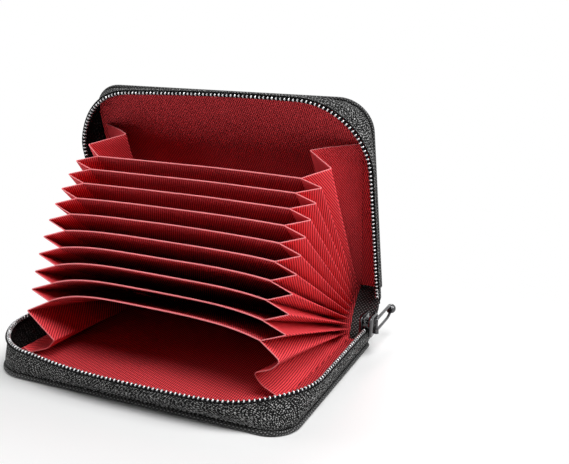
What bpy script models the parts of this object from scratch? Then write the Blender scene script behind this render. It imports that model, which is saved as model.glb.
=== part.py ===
"""Zip card holder: two stiff covers on a soft spine, ten fanned dividers and a zip round three sides.

Metres, +Z up, +X along the spine to the right. The origin is the centre of the lower cover's
outer face. Everything is drawn shut, as a stack lying flat, and opened by a chain of hinge
empties along the spine, one between each two neighbouring leaves.
"""
import math

import bmesh
import bpy
from mathutils import Matrix, Vector

# Covers
COVER_WIDTH = 0.110
COVER_DEPTH = 0.0746
CLOSED_THICKNESS = 0.0238
FRONT_CORNER_RADIUS = 0.0118
REAR_CORNER_RADIUS = 0.0015
REAR_CORNER_STEPS = 3
FABRIC_THICKNESS = 0.0008
BOARD_THICKNESS = 0.0007
LINING_THICKNESS = 0.0003
RIM_WIDTH = 0.0016
EDGE_ROUND = 0.0009
CLEARANCE = 0.0003
MERGE_DISTANCE = 0.000001

# Opening of the fan, in degrees between neighbouring leaves
FIRST_ANGLE = 16.8
MIDDLE_ANGLE = 3.96
LAST_ANGLE = 21.2
PIVOT_SETBACK = 0.0004

# Dividers and their side gussets
DIVIDER_COUNT = 10
DIVIDER_LENGTH = 0.0620
DIVIDER_MARGIN = 0.0158
DIVIDER_THICKNESS = 0.0006
DIVIDER_COLUMNS = 14
DIVIDER_ROWS = 4
LARGEST_BOW = 0.0038
BOW_SKEW = 0.25
GUSSET_THICKNESS = 0.00035
GUSSET_REACH = 0.0078
GUSSET_FOOT = 0.0012
FOLD_ROUND = 0.0004
END_FLAP_REACH = 0.0082
END_OUTER_FOLD = 0.82
END_INNER_FOLD = 0.36
GUSSET_ROWS = 5
BOW_FALL = 2
BOW_RISE = 1.5
BOW_FLATNESS = 4

# Spine
SPINE_LINING_THICKNESS = 0.0004
SPINE_STAND_OFF = 0.0005

# Zip
TAPE_THICKNESS = 0.0006
TAPE_INSET = 0.0011
TAPE_OUTSET = 0.0014
TAPE_CORNER_RADIUS = 0.0240
FRONT_BULGE = 0.0021
COIL_RADIUS = 0.0008
CHAIN_GAP = 0.0011
STOP_LENGTH = 0.0026
STOP_HALF_WIDTH = 0.0010
STOP_EDGE = 0.00025
TAPE_ROWS = 4
CORNER_STEPS = 8
FRONT_STEPS = 10
SIDE_STEPS = 4

# Slider and puller
SLIDER_LENGTH = 0.0088
SLIDER_HALF_HEIGHT = 0.0040
SLIDER_PLATE = 0.0009
SLIDER_CORNER_RADIUS = 0.0022
SLIDER_CORNER_STEPS = 3
SLIDER_SIDE_GAP = 0.00035
POST_THICKNESS = 0.0005
POST_LENGTH = 0.0024
BRIDGE_WIRE_RADIUS = 0.00055
BRIDGE_HALF_SPAN = 0.0022
BRIDGE_SHOULDER = 0.00073
PULLER_BAR_RADIUS = 0.0005
PULLER_ROD_RADIUS = 0.00055
PULLER_ROD_OFFSET = 0.0021
PULLER_LENGTH = 0.0180
PULLER_SHOULDER = 0.0025
PULLER_NOSE = 0.0007
PULLER_KNOB_RADIUS = 0.0017

# Worked out from the sizes above
REAR_Y = COVER_DEPTH / 2
BOARD_Z = FABRIC_THICKNESS + CLEARANCE
LINING_Z = BOARD_Z + BOARD_THICKNESS + CLEARANCE
LEAF_Z = LINING_Z + LINING_THICKNESS
POCKET_COUNT = DIVIDER_COUNT + 1
PITCH = (CLOSED_THICKNESS - 2 * LEAF_Z) / POCKET_COUNT
PIVOT_Y = REAR_Y + PIVOT_SETBACK
SPINE_FABRIC_Y = REAR_Y + CLEARANCE + FABRIC_THICKNESS / 2
SPINE_LINING_Y = SPINE_FABRIC_Y - FABRIC_THICKNESS / 2 - CLEARANCE - SPINE_LINING_THICKNESS / 2
DIVIDER_REAR_Y = SPINE_LINING_Y - SPINE_LINING_THICKNESS / 2 - CLEARANCE
DIVIDER_HALF_WIDTH = COVER_WIDTH / 2 - DIVIDER_MARGIN
SPINE_HALF_WIDTH = COVER_WIDTH / 2 - TAPE_INSET - TAPE_THICKNESS / 2 - CLEARANCE
TAPE_FOOT_Z = LEAF_Z + CLEARANCE
COIL_Z = (CLOSED_THICKNESS - CHAIN_GAP) / 2 - COIL_RADIUS
TAPE_TOP_Z = COIL_Z - COIL_RADIUS - CLEARANCE
TAPE_REAR_Y = REAR_Y - CLEARANCE
COIL_REAR_Y = TAPE_REAR_Y - STOP_LENGTH - CLEARANCE
COIL_X = COVER_WIDTH / 2 + TAPE_OUTSET
SLIDER_Y = COIL_REAR_Y - CLEARANCE - SLIDER_LENGTH / 2

BLACK_CLOTH = (0.022, 0.021, 0.023)
BLACK_TAPE = (0.016, 0.016, 0.018)
RED_CLOTH = (0.62, 0.012, 0.035)
GREY_BOARD = (0.30, 0.28, 0.25)
BLACK_COIL = (0.030, 0.031, 0.034)
BLACK_METAL = (0.035, 0.035, 0.038)


def clear_scene():
    for obj in list(bpy.data.objects):
        bpy.data.objects.remove(obj, do_unlink=True)


def new_collection(name):
    collection = bpy.data.collections.new(name)
    bpy.context.scene.collection.children.link(collection)
    return collection


def make_material(name, colour, roughness, metallic=0.0):
    material = bpy.data.materials.new(name)
    material.use_nodes = True
    shader = material.node_tree.nodes["Principled BSDF"]
    shader.inputs["Base Color"].default_value = (*colour, 1.0)
    shader.inputs["Roughness"].default_value = roughness
    shader.inputs["Metallic"].default_value = metallic
    return material


def add_part(name, data, parent, location=(0, 0, 0), rotation=(0, 0, 0)):
    """Links one node into the part's collection under its hinge or half."""
    obj = bpy.data.objects.new(name, data)
    PART.objects.link(obj)
    obj.parent = parent
    obj.location = location
    obj.rotation_euler = rotation
    return obj


def add_cutter(name, data):
    obj = bpy.data.objects.new(name, data)
    CUTTERS.objects.link(obj)
    obj.hide_render = True
    obj.display_type = "WIRE"
    return obj


def add_empty(name, parent, location, rotation=(0, 0, 0)):
    empty = bpy.data.objects.new(name, None)
    PART.objects.link(empty)
    empty.empty_display_size = 0.004
    empty.parent = parent
    empty.location = location
    empty.rotation_euler = rotation
    return empty


def arc(centre, radius, start, end, steps):
    """Points on an arc in the XY plane, angles in degrees from +X."""
    points = []
    for step in range(steps + 1):
        angle = math.radians(start + (end - start) * step / steps)
        points.append((centre[0] + radius * math.cos(angle), centre[1] + radius * math.sin(angle)))
    return points


def cover_outline(inset):
    """The cover's outline, drawn in by inset: round corners in front, nearly square at the spine."""
    half = COVER_WIDTH / 2 - inset
    rear = REAR_Y - inset
    front = -REAR_Y + inset
    big = FRONT_CORNER_RADIUS - inset
    small = max(REAR_CORNER_RADIUS - inset, CLEARANCE)
    points = arc((half - small, rear - small), small, 90, 0, REAR_CORNER_STEPS)
    points += arc((half - big, front + big), big, 0, -90, CORNER_STEPS)
    points += arc((-half + big, front + big), big, -90, -180, CORNER_STEPS)
    points += arc((-half + small, rear - small), small, 180, 90, REAR_CORNER_STEPS)
    return points


def flat_curve(name, points, thickness, edge_round=0.0):
    """A filled 2D outline with its thickness centred on z = 0."""
    curve = bpy.data.curves.new(name, "CURVE")
    curve.dimensions = "2D"
    curve.fill_mode = "BOTH"
    spline = curve.splines.new("POLY")
    spline.points.add(len(points) - 1)
    for slot, (x, y) in zip(spline.points, points):
        slot.co = (x, y, 0.0, 1.0)
    spline.use_cyclic_u = True
    curve.extrude = thickness / 2 - edge_round
    curve.bevel_depth = edge_round
    curve.bevel_resolution = 1
    return curve


def tube_curve(name, points, radius, resolution=2):
    curve = bpy.data.curves.new(name, "CURVE")
    curve.dimensions = "3D"
    spline = curve.splines.new("POLY")
    spline.points.add(len(points) - 1)
    for slot, point in zip(spline.points, points):
        slot.co = (*point, 1.0)
    curve.bevel_depth = radius
    curve.bevel_resolution = resolution
    curve.use_fill_caps = True
    return curve


def evaluated_mesh(obj):
    """The object's mesh after its modifiers, closed where a curve leaves its caps loose."""
    bpy.context.view_layer.update()
    graph = bpy.context.evaluated_depsgraph_get()
    mesh = bpy.data.meshes.new_from_object(obj.evaluated_get(graph))
    work = bmesh.new()
    work.from_mesh(mesh)
    bmesh.ops.remove_doubles(work, verts=work.verts, dist=MERGE_DISTANCE)
    work.to_mesh(mesh)
    work.free()
    return mesh


def mesh_of_curve(curve, matrix=None):
    """A curve as a closed mesh, moved by matrix, ready for a Boolean."""
    holder = bpy.data.objects.new("holder", curve)
    CUTTERS.objects.link(holder)
    mesh = evaluated_mesh(holder)
    bpy.data.objects.remove(holder)
    if matrix is not None:
        mesh.transform(matrix)
    return mesh


def combine(name, base, others, operation):
    """Joins or cuts meshes with exact Booleans and gives back one mesh."""
    body = bpy.data.objects.new(name, base)
    CUTTERS.objects.link(body)
    for count, other in enumerate(others):
        tool = add_cutter(f"{name}_tool_{count}", other)
        modifier = body.modifiers.new(operation.lower(), "BOOLEAN")
        modifier.operation = operation
        modifier.object = tool
    mesh = evaluated_mesh(body)
    mesh.name = name
    bpy.data.objects.remove(body)
    return mesh


def box_mesh(name, size, centre):
    mesh = bpy.data.meshes.new(name)
    work = bmesh.new()
    bmesh.ops.create_cube(work, size=1.0)
    bmesh.ops.scale(work, vec=Vector(size), verts=work.verts)
    bmesh.ops.translate(work, vec=Vector(centre), verts=work.verts)
    work.to_mesh(mesh)
    work.free()
    return mesh


def sheet_mesh(name, rows, material):
    """An open surface through rows of points, each row as long as the next."""
    mesh = bpy.data.meshes.new(name)
    work = bmesh.new()
    grid = [[work.verts.new(point) for point in row] for row in rows]
    for low, high in zip(grid, grid[1:]):
        for index in range(len(low) - 1):
            work.faces.new((low[index], low[index + 1], high[index + 1], high[index]))
    work.to_mesh(mesh)
    work.free()
    mesh.materials.append(material)
    return mesh


def thicken(obj, thickness):
    modifier = obj.modifiers.new("thickness", "SOLIDIFY")
    modifier.thickness = thickness
    modifier.offset = 0.0
    return obj


def build_hinges():
    """The chain of empties along the spine, each on its hinge axis, opened to the fan."""
    hinges = []
    parent = None
    before = Vector((0, 0, 0))
    for index in range(1, POCKET_COUNT + 1):
        pivot = Vector((0, PIVOT_Y, LEAF_Z + PITCH * (index - 0.5)))
        opening = MIDDLE_ANGLE
        if index == 1:
            opening = FIRST_ANGLE
        if index == POCKET_COUNT:
            opening = LAST_ANGLE
        hinge = add_empty(f"hinge_{index:02d}", parent, pivot - before, (-math.radians(opening), 0, 0))
        hinges.append((hinge, pivot))
        parent = hinge
        before = pivot
    return hinges


def leaf_matrices(hinges):
    """For each leaf, the matrix from its place in the shut stack to its place in the open fan."""
    bpy.context.view_layer.update()
    matrices = [Matrix.Identity(4)]
    for hinge, pivot in hinges:
        matrices.append(hinge.matrix_world @ Matrix.Translation(-pivot))
    return matrices


def tape_stations(inset, radius, bulge):
    """Points round the three zipped sides, from the left end of the spine to the right end."""
    half = COVER_WIDTH / 2 - inset
    front = -REAR_Y + inset
    turn = front + radius
    side = []
    for step in range(SIDE_STEPS):
        side.append((-half, TAPE_REAR_Y + (turn - TAPE_REAR_Y) * step / SIDE_STEPS))
    left = side + arc((-half + radius, turn), radius, 180, 270, CORNER_STEPS)
    run = half - radius
    middle = []
    for step in range(1, FRONT_STEPS):
        share = -1 + 2 * step / FRONT_STEPS
        middle.append((run * share, front - bulge * math.cos(share * math.pi / 2) ** 2))
    right = [(-x, y) for x, y in reversed(left)]
    return left + middle + right


def tape_mesh(material):
    """The zip tape's wall: it stands on the cover's rim and leans out to the chain."""
    foot = tape_stations(TAPE_INSET, FRONT_CORNER_RADIUS - TAPE_INSET, 0.0)
    head = tape_stations(-TAPE_OUTSET, TAPE_CORNER_RADIUS, FRONT_BULGE)
    rows = []
    for row in range(TAPE_ROWS + 1):
        rise = row / TAPE_ROWS
        lean = math.sin(rise * math.pi / 2)
        height = TAPE_FOOT_Z + (TAPE_TOP_Z - TAPE_FOOT_Z) * rise
        rows.append([(a[0] + (b[0] - a[0]) * lean, a[1] + (b[1] - a[1]) * lean, height)
                     for a, b in zip(foot, head)])
    return sheet_mesh("zip_tape", rows, material)


def coil_curve(material):
    """The zip's coil as one round cord on the tape's edge, between the stops."""
    points = []
    for x, y in tape_stations(-TAPE_OUTSET, TAPE_CORNER_RADIUS, FRONT_BULGE):
        points.append((x, min(y, COIL_REAR_Y), COIL_Z))
    curve = tube_curve("zip_coil", points, COIL_RADIUS)
    curve.materials.append(material)
    return curve


def tray_mesh(material):
    """The outer fabric, rolled over the board's edge into a shallow tray."""
    shell = mesh_of_curve(flat_curve("tray", cover_outline(EDGE_ROUND), LEAF_Z, EDGE_ROUND),
                          Matrix.Translation((0, 0, LEAF_Z / 2)))
    hollow = mesh_of_curve(flat_curve("tray_hollow", cover_outline(RIM_WIDTH), LEAF_Z),
                           Matrix.Translation((0, 0, FABRIC_THICKNESS + LEAF_Z / 2)))
    mesh = combine("cover_fabric", shell, [hollow], "DIFFERENCE")
    mesh.materials.clear()
    mesh.materials.append(material)
    return mesh


def build_half(prefix, parent, shapes):
    """One cover with its board, lining, tape and coil, all drawn from the lower one's shapes."""
    add_part(f"{prefix}_cover_fabric", shapes["fabric"], parent)
    add_part(f"{prefix}_cover_board", shapes["board"], parent, (0, 0, BOARD_Z + BOARD_THICKNESS / 2))
    add_part(f"{prefix}_cover_lining", shapes["lining"], parent, (0, 0, LINING_Z + LINING_THICKNESS / 2))
    thicken(add_part(f"{prefix}_zip_tape", shapes["tape"], parent), TAPE_THICKNESS)
    add_part(f"{prefix}_zip_coil", shapes["coil"], parent)


def stop_mesh(material):
    """A crimped metal stop that stands in line with the coil."""
    mesh = box_mesh("zip_stop", (2 * STOP_HALF_WIDTH, STOP_LENGTH, 2 * COIL_RADIUS), (0, 0, 0))
    mesh.materials.append(material)
    return mesh


def add_stop(name, mesh, parent, side):
    stop = add_part(name, mesh, parent, (side * COIL_X, TAPE_REAR_Y - STOP_LENGTH / 2, COIL_Z))
    bevel = stop.modifiers.new("edge", "BEVEL")
    bevel.width = STOP_EDGE
    bevel.segments = 2


def divider_bow(index, across, along):
    """How far a divider bellies up off its plane: most near the left end of its free edge."""
    share = (DIVIDER_COUNT - index) / (DIVIDER_COUNT - 1)
    profile = (1 - across ** BOW_FLATNESS) * (1 - BOW_SKEW * across)
    return LARGEST_BOW * share ** BOW_FALL * profile * along ** BOW_RISE


def build_dividers(hinges, material):
    """Ten stiffened sheets, each on its hinge, the lower ones bowed along their free edge."""
    for index in range(1, DIVIDER_COUNT + 1):
        hinge, pivot = hinges[index - 1]
        rows = []
        for row in range(DIVIDER_ROWS + 1):
            along = row / DIVIDER_ROWS
            points = []
            for column in range(DIVIDER_COLUMNS + 1):
                across = -1 + 2 * column / DIVIDER_COLUMNS
                points.append((DIVIDER_HALF_WIDTH * across, DIVIDER_REAR_Y - DIVIDER_LENGTH * along,
                               divider_bow(index, across, along)))
            rows.append(points)
        name = f"divider_{index:02d}"
        height = LEAF_Z + PITCH * index
        sheet = add_part(name, sheet_mesh(name, rows, material), hinge, Vector((0, 0, height)) - pivot)
        thicken(sheet, DIVIDER_THICKNESS)


def gusset_row(leaves, index, side, distance):
    """The folded gusset's line across one pocket, at a distance from the spine."""
    root = DIVIDER_HALF_WIDTH + CLEARANCE
    peak = DIVIDER_HALF_WIDTH + GUSSET_REACH
    lift = (CLEARANCE + GUSSET_THICKNESS) / 2
    y = DIVIDER_REAR_Y - distance
    low_z = LEAF_Z + PITCH * (index - 1) + lift
    high_z = LEAF_Z + PITCH * index - lift
    if index == 1:
        low_z = LEAF_Z + CLEARANCE + GUSSET_THICKNESS / 2
    if index == POCKET_COUNT:
        high_z = CLOSED_THICKNESS - LEAF_Z - CLEARANCE - GUSSET_THICKNESS / 2
    low = leaves[index - 1] @ Vector((0, y, low_z))
    high = leaves[index] @ Vector((0, y, high_z))
    across = (high - low).normalized() * FOLD_ROUND

    def at(x, share, shift=0):
        return Vector((side * x, 0, 0)) + low.lerp(high, share) + across * shift

    if index == 1:
        outer, inner = END_OUTER_FOLD, END_INNER_FOLD
        return [at(root, 1), at(peak - FOLD_ROUND, outer, 1), at(peak, outer),
                at(peak - FOLD_ROUND, outer, -1), at(root + FOLD_ROUND, inner, 1), at(root, inner),
                at(root + FOLD_ROUND, inner, -1), at(root + END_FLAP_REACH, 0)]
    if index == POCKET_COUNT:
        outer, inner = 1 - END_OUTER_FOLD, 1 - END_INNER_FOLD
        return [at(root, 0), at(peak - FOLD_ROUND, outer, -1), at(peak, outer),
                at(peak - FOLD_ROUND, outer, 1), at(root + FOLD_ROUND, inner, -1), at(root, inner),
                at(root + FOLD_ROUND, inner, 1), at(root + END_FLAP_REACH, 1)]
    return [at(root, 0), at(peak - FOLD_ROUND, 0.5, -1), at(peak, 0.5),
            at(peak - FOLD_ROUND, 0.5, 1), at(root, 1)]


def build_gussets(leaves, material):
    """A folded sheet on each side of every pocket, from one leaf to the next."""
    length = DIVIDER_LENGTH - GUSSET_FOOT
    for side, word in ((-1, "left"), (1, "right")):
        for index in range(1, POCKET_COUNT + 1):
            rows = [gusset_row(leaves, index, side, GUSSET_FOOT + length * step / GUSSET_ROWS)
                    for step in range(GUSSET_ROWS + 1)]
            name = f"gusset_{word}_{index:02d}"
            thicken(add_part(name, sheet_mesh(name, rows, material), None), GUSSET_THICKNESS)


def spine_row(leaves, y, end_z, x):
    """A line round the back of the fan at one x, bending at each hinge."""
    points = [Vector((x, y, end_z))]
    for index in range(1, POCKET_COUNT + 1):
        z = LEAF_Z + PITCH * (index - 0.5)
        seen = [leaves[index - 1] @ Vector((x, y, z)), leaves[index] @ Vector((x, y, z))]
        points.append((seen[0] + seen[1]) / 2)
    points.append(leaves[-1] @ Vector((x, y, CLOSED_THICKNESS - end_z)))
    return points


def build_spine(leaves, cloth, lining):
    """The soft back: an outer fabric strip and the lining strip that closes the pockets."""
    fabric_rows = [spine_row(leaves, SPINE_FABRIC_Y, SPINE_STAND_OFF, x)
                   for x in (-SPINE_HALF_WIDTH, 0, SPINE_HALF_WIDTH)]
    fabric = add_part("spine_fabric", sheet_mesh("spine_fabric", fabric_rows, cloth), None)
    thicken(fabric, FABRIC_THICKNESS)
    reach = DIVIDER_HALF_WIDTH + GUSSET_REACH
    lining_rows = [spine_row(leaves, SPINE_LINING_Y, LEAF_Z + CLEARANCE, x) for x in (-reach, 0, reach)]
    inner = add_part("spine_lining", sheet_mesh("spine_lining", lining_rows, lining), None)
    thicken(inner, SPINE_LINING_THICKNESS)


def plate_points():
    """A slider plate's outline, along the chain and across it."""
    half = SLIDER_LENGTH / 2
    tall = SLIDER_HALF_HEIGHT
    radius = SLIDER_CORNER_RADIUS
    points = arc((half - radius, tall - radius), radius, 90, 0, SLIDER_CORNER_STEPS)
    points += arc((half - radius, -tall + radius), radius, 0, -90, SLIDER_CORNER_STEPS)
    points += arc((-half + radius, -tall + radius), radius, -90, -180, SLIDER_CORNER_STEPS)
    points += arc((-half + radius, tall - radius), radius, 180, 90, SLIDER_CORNER_STEPS)
    return points


def build_slider(material):
    """The slider astride the right-hand chain: two plates, the post between the coils, a bridge."""
    channel = COIL_RADIUS + SLIDER_SIDE_GAP
    to_side = Matrix.Rotation(math.radians(90), 4, "Z") @ Matrix.Rotation(math.radians(90), 4, "X")
    outer_x = channel + SLIDER_PLATE / 2
    outer = mesh_of_curve(flat_curve("outer_plate", plate_points(), SLIDER_PLATE),
                          Matrix.Translation((outer_x, 0, 0)) @ to_side)
    inner = mesh_of_curve(flat_curve("inner_plate", plate_points(), SLIDER_PLATE),
                          Matrix.Translation((-outer_x, 0, 0)) @ to_side)
    post = box_mesh("post", (2 * outer_x, POST_LENGTH, POST_THICKNESS),
                    (0, -SLIDER_LENGTH / 2 + POST_LENGTH / 2 + SLIDER_CORNER_RADIUS / 2, 0))
    face = channel + SLIDER_PLATE
    top = face + 2 * CLEARANCE + 2 * PULLER_BAR_RADIUS + BRIDGE_WIRE_RADIUS
    span = BRIDGE_HALF_SPAN
    bend = BRIDGE_SHOULDER
    bridge_points = [(face - BRIDGE_WIRE_RADIUS, -span, 0), (top - bend, -span, 0),
                     (top, bend - span, 0), (top, span - bend, 0), (top - bend, span, 0),
                     (face - BRIDGE_WIRE_RADIUS, span, 0)]
    bridge = mesh_of_curve(tube_curve("bridge", bridge_points, BRIDGE_WIRE_RADIUS))
    mesh = combine("slider_body", outer, [inner, post, bridge], "UNION")
    mesh.materials.clear()
    mesh.materials.append(material)
    slider = add_part("slider_body", mesh, None, (COIL_X, SLIDER_Y, CLOSED_THICKNESS / 2))

    axis_x = face + CLEARANCE + PULLER_BAR_RADIUS
    offset = PULLER_ROD_OFFSET
    end = PULLER_LENGTH
    shoulder = end - PULLER_SHOULDER
    loop = [(0, 0, -offset), (0, shoulder, -offset), (0, end, -PULLER_NOSE),
            (0, end, PULLER_NOSE), (0, shoulder, offset), (0, 0, offset)]
    rods = mesh_of_curve(tube_curve("puller_rods", loop, PULLER_ROD_RADIUS))
    bar = mesh_of_curve(tube_curve("puller_bar", [(0, 0, -offset), (0, 0, offset)], PULLER_BAR_RADIUS))
    knob = bpy.data.meshes.new("puller_knob")
    work = bmesh.new()
    bmesh.ops.create_uvsphere(work, u_segments=12, v_segments=8, radius=PULLER_KNOB_RADIUS)
    bmesh.ops.translate(work, vec=(0, end, 0), verts=work.verts)
    work.to_mesh(knob)
    work.free()
    puller_mesh = combine("puller", rods, [bar, knob], "UNION")
    puller_mesh.materials.clear()
    puller_mesh.materials.append(material)
    add_part("puller", puller_mesh, slider, (axis_x, 0, 0))


clear_scene()
PART = new_collection("zip_card_holder")
CUTTERS = new_collection("cutters")

cloth = make_material("cover_cloth", BLACK_CLOTH, 0.85)
tape_cloth = make_material("tape_cloth", BLACK_TAPE, 0.9)
red_cloth = make_material("red_cloth", RED_CLOTH, 0.75)
board = make_material("grey_board", GREY_BOARD, 0.9)
coil = make_material("coil_plastic", BLACK_COIL, 0.3)
metal = make_material("black_metal", BLACK_METAL, 0.25, 0.9)

board_curve = flat_curve("cover_board", cover_outline(RIM_WIDTH + CLEARANCE), BOARD_THICKNESS)
board_curve.materials.append(board)
lining_curve = flat_curve("cover_lining", cover_outline(RIM_WIDTH + CLEARANCE), LINING_THICKNESS)
lining_curve.materials.append(red_cloth)
SHAPES = {
    "fabric": tray_mesh(cloth),
    "board": board_curve,
    "lining": lining_curve,
    "tape": tape_mesh(tape_cloth),
    "coil": coil_curve(coil),
}

hinge_chain = build_hinges()
leaf_places = leaf_matrices(hinge_chain)
lower_half = add_empty("lower_half", None, (0, 0, 0))
last_hinge, last_pivot = hinge_chain[-1]
upper_half = add_empty("upper_half", last_hinge, Vector((0, 0, CLOSED_THICKNESS)) - last_pivot,
                       (0, math.pi, 0))
build_half("lower", lower_half, SHAPES)
build_half("upper", upper_half, SHAPES)

stop = stop_mesh(metal)
add_stop("bottom_stop", stop, lower_half, 1)
add_stop("top_stop_lower", stop, lower_half, -1)
add_stop("top_stop_upper", stop, upper_half, 1)

build_dividers(hinge_chain, red_cloth)
build_gussets(leaf_places, red_cloth)
build_spine(leaf_places, cloth, red_cloth)
build_slider(metal)
bpy.context.view_layer.update()
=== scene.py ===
import math
from bisect import bisect
from collections import namedtuple

import bmesh
import bpy
from mathutils import Matrix, Vector, noise


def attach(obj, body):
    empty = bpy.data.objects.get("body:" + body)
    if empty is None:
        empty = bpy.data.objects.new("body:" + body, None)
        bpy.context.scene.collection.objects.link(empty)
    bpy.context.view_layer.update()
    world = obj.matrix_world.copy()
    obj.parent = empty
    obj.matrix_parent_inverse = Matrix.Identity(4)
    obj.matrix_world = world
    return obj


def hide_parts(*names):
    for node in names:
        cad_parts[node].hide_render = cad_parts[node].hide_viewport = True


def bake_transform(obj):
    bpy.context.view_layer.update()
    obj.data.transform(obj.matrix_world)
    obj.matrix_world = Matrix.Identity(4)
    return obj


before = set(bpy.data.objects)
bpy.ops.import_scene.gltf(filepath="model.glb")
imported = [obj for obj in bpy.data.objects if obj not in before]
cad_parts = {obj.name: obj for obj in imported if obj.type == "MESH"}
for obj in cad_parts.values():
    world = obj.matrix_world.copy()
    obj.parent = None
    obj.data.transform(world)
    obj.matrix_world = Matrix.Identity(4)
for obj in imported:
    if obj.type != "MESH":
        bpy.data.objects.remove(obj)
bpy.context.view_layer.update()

MM = 0.001

# Sizes of the holder, as its CAD is drawn: shut, with the stack lying flat
COVER_WIDTH = 110.0 * MM
COVER_DEPTH = 74.6 * MM
CLOSED_THICKNESS = 23.8 * MM
REAR_CORNER_RADIUS = 1.5 * MM
LEAF_Z = 2.4 * MM
REAR_Y = COVER_DEPTH / 2
DIVIDER_COUNT = 10
POCKET_COUNT = DIVIDER_COUNT + 1
PITCH = (CLOSED_THICKNESS - 2 * LEAF_Z) / POCKET_COUNT
PIVOT_Y = REAR_Y + 0.4 * MM
OPENINGS = (16.8,) + (3.96,) * 9 + (21.2,)

LINING_INSET = 1.7 * MM
LINING_Z = 2.22 * MM
LINING_RISE = 0.12 * MM
LINING_THICKNESS = 0.3 * MM
LINING_EDGE = 4 * MM
LINING_WAVE = 0.05 * MM

DIVIDER_REAR_Y = 36.6 * MM
DIVIDER_LENGTH = 62.0 * MM
DIVIDER_HALF_WIDTH = 39.2 * MM
DIVIDER_THICKNESS = 0.5 * MM
DIVIDER_WAVE = 0.16 * MM
LARGEST_BOW = 3.8 * MM
RIGHT_SAG = 1.0 * MM
GUSSET_REACH = 7.8 * MM
GUSSET_THICKNESS = 0.32 * MM
GUSSET_LIFT = 0.13 * MM
GUSSET_FOOT = 1.2 * MM
GUSSET_LAP = 0.06 * MM
GUSSET_CLEARANCE = 0.02 * MM

SPINE_CLOTH_Y = 38.0 * MM
SPINE_CLOTH_THICKNESS = 0.8 * MM
SPINE_HALF_WIDTH = 53.3 * MM
SPINE_FLARE = 2.4 * MM
SPINE_LINING_Y = 37.1 * MM
SPINE_LINING_THICKNESS = 0.4 * MM
SPINE_LINING_HALF_WIDTH = DIVIDER_HALF_WIDTH + GUSSET_REACH

TAPE_INSET = 1.1 * MM
TAPE_OUTSET = 1.4 * MM
TAPE_CORNER_RADIUS = 24.0 * MM
TAPE_REAR_Y = 37.0 * MM
WALL_THICKNESS = 0.42 * MM
WALL_CREASE = 0.12 * MM
COIL_X = 56.4 * MM
COIL_Z = 10.55 * MM
COIL_REAR_Y = 34.1 * MM
COIL_PITCH = 1.5 * MM
COIL_INSET = 0.35 * MM
COIL_WIRE_RADIUS = 0.26 * MM
LOOP_HALF_DEPTH = 0.42 * MM
LOOP_HALF_HEIGHT = 0.60 * MM
LOOP_SLANT = 0.30 * MM
CORD_RADIUS = 0.45 * MM
THREAD_RADIUS = 0.14 * MM
THREAD_INSET = 0.98 * MM
THREAD_DROP = 0.25 * MM
STOP_WIDTH = 1.9 * MM
STOP_LENGTH = 2.6 * MM
STOP_HEIGHT = 1.7 * MM
STOP_GROOVE_Y = 0.52 * MM

SLIDER_Y = 29.4 * MM
SLIDER_Z = CLOSED_THICKNESS / 2
SLIDER_LENGTH = 8.8 * MM
SLIDER_HEIGHT = 8.0 * MM
CHANNEL = 1.15 * MM
PLATE = 0.9 * MM
PLATE_CORNER = 2.2 * MM
PLATE_RIM = 0.5 * MM
PLATE_RAISE = 0.22 * MM
TAIL_SHARE = 0.84
POST_LENGTH = 2.4 * MM
FLANGE = 0.5 * MM
FLANGE_LENGTH = 5.0 * MM
FLANGE_Z = 3.05 * MM
CROWN_RISE = 3.1 * MM
CROWN_LENGTH = 7.2 * MM
CROWN_WIDTH = 2.5 * MM
CROWN_CORNER = 2.6 * MM
BAR_HOLE_RADIUS = 0.86 * MM
PULLER_X = 59.25 * MM
PULLER_LENGTH = 18.0 * MM
PULLER_HALF_WIDTH = 2.1 * MM
PULLER_TAPER = 3.4 * MM
PULLER_WIRE_RADIUS = 0.52 * MM
KNOB_RADIUS = 1.75 * MM

# How each half's zipped edge hangs, each half drawn lying on its back: how far the front bulges and
# droops, where along it and how sharply, how far the edge leans to one side and how far forwards that
# fades, and how round the cover's front corners are
Slack = namedtuple("Slack", "bulge droop middle half power lean lean_front left_radius right_radius")
SLACK = {"lower": Slack(2.6 * MM, 1.2 * MM, 8 * MM, 42 * MM, 3, -1.8 * MM, 11 * MM, 14.0 * MM, 9.4 * MM),
         "upper": Slack(1.3 * MM, 0.0, -12 * MM, 46 * MM, 2, 1.75 * MM, 9.5 * MM, 11.8 * MM, 11.8 * MM)}

# The lean is greatest at LEAN_Y, fades to the rear over LEAN_REAR, and starts from the middle over LEAN_START
LEAN_Y = -13 * MM
LEAN_REAR = 26 * MM
LEAN_START = 30 * MM

# Camera, found from the photograph's 569 x 464 frame
IMAGE_WIDTH = 569
FOCAL_PIXELS = 800.04
CAMERA_PLACE = (132.70 * MM, -221.93 * MM, 116.43 * MM)
CAMERA_AZIMUTH = 23.397
CAMERA_ELEVATION = 15.356
CAMERA_ROLL = 0.725
SENSOR = 36.0

LAMP_TARGET = Vector((0.0, 0.0, 0.03))
LAMP_SIZE = 0.40


# ---- camera and lamps

def placed(name, data):
    """An object made of its data, in the scene."""
    made = bpy.data.objects.new(name, data)
    bpy.context.scene.collection.objects.link(made)
    return made


def add_camera():
    data = bpy.data.cameras.new("view")
    data.sensor_width = SENSOR
    data.lens = FOCAL_PIXELS / IMAGE_WIDTH * SENSOR
    data.clip_start = 0.01
    data.clip_end = 20.0
    camera = placed("view", data)
    turn = (Matrix.Rotation(math.radians(CAMERA_AZIMUTH), 4, "Z")
            @ Matrix.Rotation(math.radians(90 - CAMERA_ELEVATION), 4, "X")
            @ Matrix.Rotation(math.radians(CAMERA_ROLL), 4, "Z"))
    camera.matrix_world = Matrix.Translation(CAMERA_PLACE) @ turn
    bpy.context.scene.camera = camera


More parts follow.
